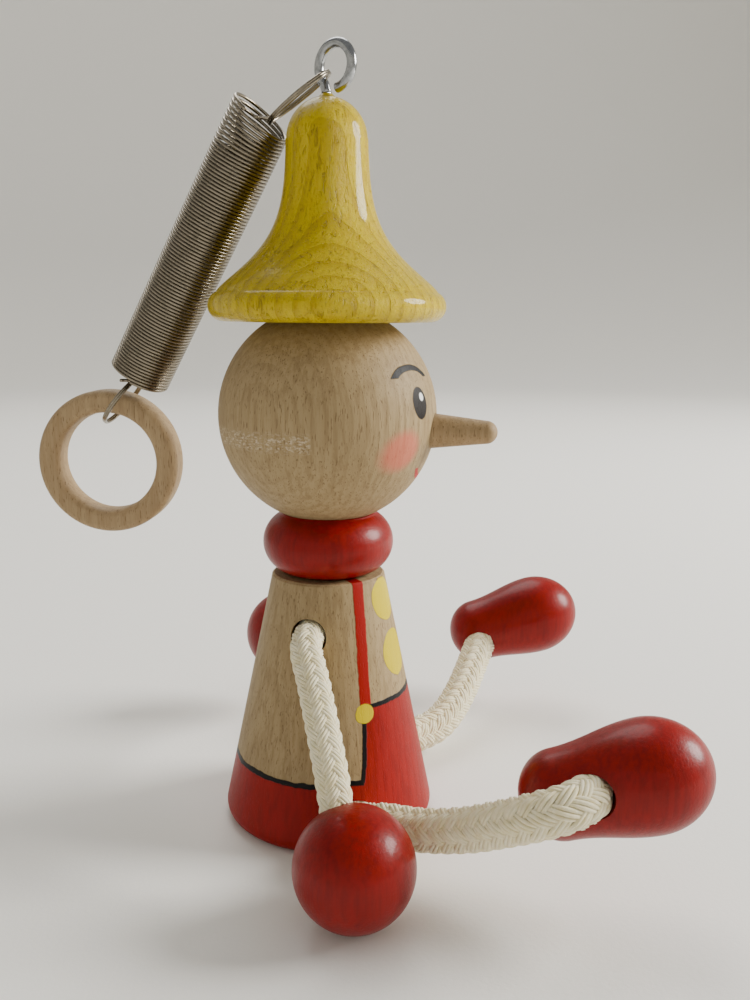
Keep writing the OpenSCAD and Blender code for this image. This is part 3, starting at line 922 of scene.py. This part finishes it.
def make_spring():
    steel = bright_metal("spring_steel", STEEL, STEEL_DULL, 0.17, 0.35)
    coil = tube("coil_wire", coil_points(), SPRING_WIRE, 8, COIL_DIR)
    coil.data.materials.append(steel)
    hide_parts("spring_coil")
    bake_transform(coil)
    half_bar = math.sqrt(HOOK_R**2 - HOOK_OFFSET**2)
    upper = smooth_route(hook_points(HOOK_BASE, -HOOK_DIR, UPPER_TWIST, HOOK_NECK, half_bar), 2)
    top = tube("top_hook_wire", upper, SPRING_WIRE, 10)
    dress(top, steel, "spring", "spring_steel", "spring_upper_hook")
    lower = smooth_route(hook_points(LOWER_BASE, LOWER_DIR, -LOWER_TWIST, 0.0, HOOK_R), 2)
    low = tube("bottom_hook_wire", lower, SPRING_WIRE, 10)
    dress(low, steel, "spring_end", "spring_steel", "spring_lower_hook")


# --- cords, hands and feet ----------------------------------------------------------------------

RIGHT_ARM = [
    (-0.0005, 0.0008, 0.0482), (-0.008, 0.0008, 0.0482), (-0.0146, 0.0008, 0.0481),
    (-0.0198, 0, 0.0468), (-0.026, -0.0033, 0.0422), (-0.032, -0.0067, 0.0358),
    (-0.037, -0.0098, 0.0285), (-0.041, -0.0122, 0.0215), (-0.0436, -0.0139, 0.016),
]
LEFT_ARM = [
    (0.0005, 0.0008, 0.0482), (0.008, 0.0008, 0.0482), (0.0146, 0.0009, 0.0482),
    (0.0198, 0.002, 0.0473), (0.026, 0.0058, 0.0448), (0.032, 0.0102, 0.0416),
    (0.038, 0.0147, 0.0373), (0.044, 0.0193, 0.0323), (0.05, 0.024, 0.0273),
]
RIGHT_LEG = [
    (-0.0005, -0.011, 0.0074), (-0.01, -0.011, 0.0074), (-0.0178, -0.0111, 0.0073),
    (-0.0236, -0.0135, 0.0087), (-0.0276, -0.0195, 0.0117), (-0.031, -0.028, 0.0134),
    (-0.035, -0.0375, 0.0169), (-0.0392, -0.046, 0.0218), (-0.042, -0.0524, 0.0256),
    (-0.0419, -0.0574, 0.0277), (-0.0384, -0.061, 0.0281), (-0.0326, -0.062, 0.027),
    (-0.027, -0.0618, 0.0257),
]
LEFT_LEG = [
    (0.0005, -0.011, 0.0074), (0.009, -0.011, 0.0074), (0.0154, -0.011, 0.0074),
    (0.0212, -0.0119, 0.0073), (0.026, -0.015, 0.0069), (0.0302, -0.0182, 0.0068),
    (0.0345, -0.0216, 0.0074), (0.0405, -0.0246, 0.0094), (0.049, -0.0271, 0.0128),
    (0.059, -0.0292, 0.0176), (0.071, -0.0312, 0.0232),
]
# Where each cord comes out of the cone, and the angle of its strands to the cord, in degrees
ARM_MOUTHS = {"right": (-0.0145, 0.0008, 0.0482), "left": (0.0145, 0.0008, 0.0482)}
LEG_MOUTHS = {"right": (-0.0215, -0.0122, 0.0078), "left": (0.0215, -0.012, 0.0073)}
ARM_SLANT = 38
LEG_SLANT = 43
# Plait: outer radius and swing in cord diameters, depths and crown in swings, width in yarn pitches
PLAIT_STRANDS = 8
PLAIT_YARNS = 3
PLAIT_STEP = 0.5 * MM
PLAIT_OUTSIDE = 0.515
PLAIT_SWING = 0.056
STRAND_DEPTH = 1.9
YARN_WIDTH = 1.3
YARN_DEPTH = 0.95
YARN_CROWN = 0.3
FUZZ_PER_MM = 4.0
FUZZ_HALF = 0.018 * MM
FUZZ_LENGTH = (0.5, 1.5)
FUZZ_SEED = 7


def fuzz(rail, radius, count):
    """Loose cotton hairs that stand a little off the plait."""
    draw = np.random.default_rng(FUZZ_SEED)
    for _ in range(count):
        s0, angle = draw.uniform(0, rail.length), draw.uniform(0, 2 * math.pi)
        place, t, u, v = (row[0] for row in rail.at(np.array([s0])))
        out = u * math.cos(angle) + v * math.sin(angle)
        lean = t * draw.uniform(-1, 1) + np.cross(t, out) * draw.uniform(-1, 1)
        long = draw.uniform(*FUZZ_LENGTH) * MM
        steps = np.linspace(0, 1, 4)[:, None]
        curl = out * 0.55 * (steps - steps**2 * 0.6) + lean * steps**1.4
        centre = place + out * (radius * 0.93) + curl * long
        side = np.tile(np.cross(out, lean), (4, 1))
        side /= np.linalg.norm(side, axis=1)[:, None]
        yield tube_arrays(centre, side, np.tile(out, (4, 1)), FUZZ_HALF, FUZZ_HALF, 3)


def braid(name, route, diameter, slant, side):
    """Herringbone plait: strands wind both ways, each over two and under two of the others."""
    rail = Rail(smooth_route(route, 8), side)
    swing = PLAIT_SWING * diameter
    core = diameter * PLAIT_OUTSIDE - STRAND_DEPTH * swing
    tilt = math.radians(slant)
    climb = math.tan(tilt) / core
    pitch = 2 * math.pi * core / PLAIT_STRANDS * math.cos(tilt)
    half_wide, half_thick = pitch / PLAIT_YARNS / 2 * YARN_WIDTH, YARN_DEPTH * swing
    sides = 6
    s = np.linspace(0, rail.length, int(rail.length / PLAIT_STEP))
    points, faces, base = [], [], 0
    for way in (1, -1):
        for strand in range(PLAIT_STRANDS):
            crossing = 2 * strand + way * PLAIT_STRANDS * climb * s / math.pi
            height = way * swing * np.cos(math.pi / 2 * (crossing - 0.5))
            for yarn in range(PLAIT_YARNS):
                w = (yarn - (PLAIT_YARNS - 1) / 2) * pitch / PLAIT_YARNS * (0.94 + 0.06 * height / swing)
                theta = 2 * math.pi * strand / PLAIT_STRANDS + way * climb * s + w * math.cos(tilt) / core
                here = s - way * w * math.sin(tilt)
                crown = YARN_CROWN * swing * (1 - (2 * yarn / (PLAIT_YARNS - 1) - 1) ** 2)
                place, _, u, v = rail.at(here)
                out = u * np.cos(theta)[:, None] + v * np.sin(theta)[:, None]
                centre = place + out * (core + height + crown)[:, None]
                run = np.gradient(centre, axis=0)
                run /= np.linalg.norm(run, axis=1)[:, None]
                across = np.cross(run, out)
                across /= np.linalg.norm(across, axis=1)[:, None]
                face = np.cross(across, run)
                rings, walls, _ = tube_arrays(centre, across, face, half_wide, half_thick, sides)
                points.append(rings)
                faces.append(walls + base)
                base += len(rings)
    heart = core - 0.9 * swing
    place, _, u, v = rail.at(s)
    core_rings, core_walls, _ = tube_arrays(place, u, v, heart, heart, 20)
    points.append(core_rings)
    faces.append(core_walls + base)
    base += len(core_rings)
    for hair in fuzz(rail, diameter / 2, int(rail.length / MM * FUZZ_PER_MM)):
        points.append(hair[0])
        faces.append(hair[1] + base)
        base += len(hair[0])
    cord = mesh_from(name, np.concatenate(points), np.concatenate(faces).tolist())
    return cord, [tuple(p) for p in rail.p], rail.length


def make_limb(body, route, diameter, slant, mouth, beside, cloth, lump):
    """Cord from inside the cone to its hand or foot."""
    cord, path, length = braid(f"{body}_plait", route, diameter, slant, beside)
    cord.data.materials.append(cloth)
    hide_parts(f"{body}_cord")
    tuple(mouth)
    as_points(path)
    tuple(mouth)
    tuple(route[-2])
    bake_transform(cord)


HOLE_SPARE = 0.2 * MM


def cord_axis(route):
    """Direction from a cord's end back along its last stretch."""
    return (Vector(route[-2]) - Vector(route[-1])).normalized()


def drill_for_cord(obj, route, reach, diameter):
    """Bores the cord's blind hole, from just past its end to well outside the wood."""
    tip, axis = Vector(route[-1]), cord_axis(route)
    drill(obj, tip - axis * HOLE_SPARE, tip + axis * reach, diameter / 2)


def make_hand(side, route):
    low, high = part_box(f"{side}_hand")
    radius = (high.z - low.z) / 2
    centre = (low + high) / 2
    axis = cord_axis(route)
    outline = [(0, -radius)] + arc((0, 0), radius, -88, 88, 76) + [(0, radius)]
    ball = lathe(f"{side}_hand_ball", outline, place_along(centre, axis), 128)
    drill_for_cord(ball, route, 2 * radius, ARM_CORD)
    varnish = red_varnish(f"red_{side}_hand", centre, axis)
    return dress(ball, varnish, f"{side}_arm", "red_paint", f"{side}_hand")


FOOT_LENGTH = 39.6 * MM
HEEL_R = 9.3 * MM
TOE_R = 11.6 * MM
HEEL_END = 8.6 * MM
TOE_END = 13 * MM
# Each foot's heel centre, its turn about Z and its toe's rise, in degrees
FEET = {"right": ((-0.0286, -0.0569, 0.024), 2, 18.3), "left": ((0.0734, -0.0297, 0.023), 12, 17)}


def make_foot(side, route):
    """Pear-shaped foot: round heel, swell to the toe, round toe."""
    heel, turn, tilt = FEET[side]
    toe_from = FOOT_LENGTH - TOE_END
    outline = arc((0, HEEL_END), HEEL_R, -90, 0, 19, high=HEEL_END)
    steps = 28
    for k in range(1, steps + 1):
        t = k / steps
        swell = (1 - math.cos(math.pi * t)) / 2
        outline.append((HEEL_R + (TOE_R - HEEL_R) * swell, HEEL_END + (toe_from - HEEL_END) * t))
    outline += arc((0, toe_from), TOE_R, 4, 86, 21, high=TOE_END) + [(0, FOOT_LENGTH)]
    place = (
        Matrix.Translation(heel)
        @ Matrix.Rotation(math.radians(turn), 4, "Z")
        @ Matrix.Rotation(math.radians(90 - tilt), 4, "X")
        @ Matrix.Translation((0, 0, -HEEL_R))
    )
    foot = lathe(f"{side}_foot_turned", outline, place, 128)
    drill_for_cord(foot, route, 2 * TOE_R, LEG_CORD)
    varnish = red_varnish(f"red_{side}_foot", heel, place.to_3x3() @ UP)
    return dress(foot, varnish, f"{side}_leg", "red_paint", f"{side}_foot")


def make_limbs():
    cloth = cotton()
    for side, route in (("right", RIGHT_ARM), ("left", LEFT_ARM)):
        hand = make_hand(side, route)
        make_limb(f"{side}_arm", route, ARM_CORD, ARM_SLANT, ARM_MOUTHS[side], (0, 0, 1), cloth, hand)
    for side, route in (("right", RIGHT_LEG), ("left", LEFT_LEG)):
        foot = make_foot(side, route)
        make_limb(f"{side}_leg", route, LEG_CORD, LEG_SLANT, LEG_MOUTHS[side], (0, 1, 0), cloth, foot)


def dress_hidden_nodes():
    """The dowels stay as CAD nodes inside the wood, and still get their beech."""
    wood = plain_beech("dowel_beech", (-50, 20))
    for node in ("neck_dowel", "hat_dowel"):
        for place in frame["nodes"][node].material_slots:
            place.material = wood


# --- stage --------------------------------------------------------------------------------------

FLOOR_RADIUS = 1.3
SWEEP_RADIUS = 0.9
SWEEP_TOP = 1.4
SKY = (1.0, 0.985, 0.95, 1.0)
SKY_STRENGTH = 0.36
TARGET = (0, 0, 0.08)


def make_stage():
    """Pale cloth floor that sweeps up into its own backdrop."""
    outline = [(0, 0), (FLOOR_RADIUS, 0)]
    outline += arc((FLOOR_RADIUS, SWEEP_RADIUS), SWEEP_RADIUS, -86, 0, 20)
    outline.append((FLOOR_RADIUS + SWEEP_RADIUS, SWEEP_TOP))
    floor = lathe("floor_sweep", outline, segments=96)
    p = Paint("floor_cloth", Specular_IOR_Level=0.15)
    weave = p.noise(p.mm, 0.9, 4.0, 0.6)
    p.bump(weave, 0.05)
    floor.data.materials.append(p.finish(FLOOR_CLOTH, 0.9))


def area_light(name, at, size, power, colour):
    """Round soft light that looks at the puppet."""
    data = bpy.data.lights.new(name, "AREA")
    data.shape = "DISK"
    data.size = size
    data.energy = power
    data.color = colour
    light = bpy.data.objects.new(name, data)
    bpy.context.collection.objects.link(light)
    aim = (Vector(at) - Vector(TARGET)).to_track_quat("Z", "Y").to_matrix().to_4x4()
    light.matrix_world = Matrix.Translation(at) @ aim


def make_lights():
    world = bpy.data.worlds.new("studio")
    world.use_nodes = True
    background = world.node_tree.nodes["Background"]
    background.inputs["Color"].default_value = SKY
    background.inputs["Strength"].default_value = SKY_STRENGTH
    bpy.context.scene.world = world
    area_light("window", at=(0.42, -1.1, 0.62), size=0.6, power=30.0, colour=(1.0, 0.98, 0.94))
    area_light("far_fill", at=(0.7, 0.3, 1.1), size=0.9, power=9.0, colour=(1.0, 0.985, 0.96))


make_camera()
make_limbs()
make_body()
make_neck_ring()
make_head()
make_nose()
make_hat()
make_finger_ring()
make_screw_eye()
make_spring()
dress_hidden_nodes()
make_stage()
make_lights()
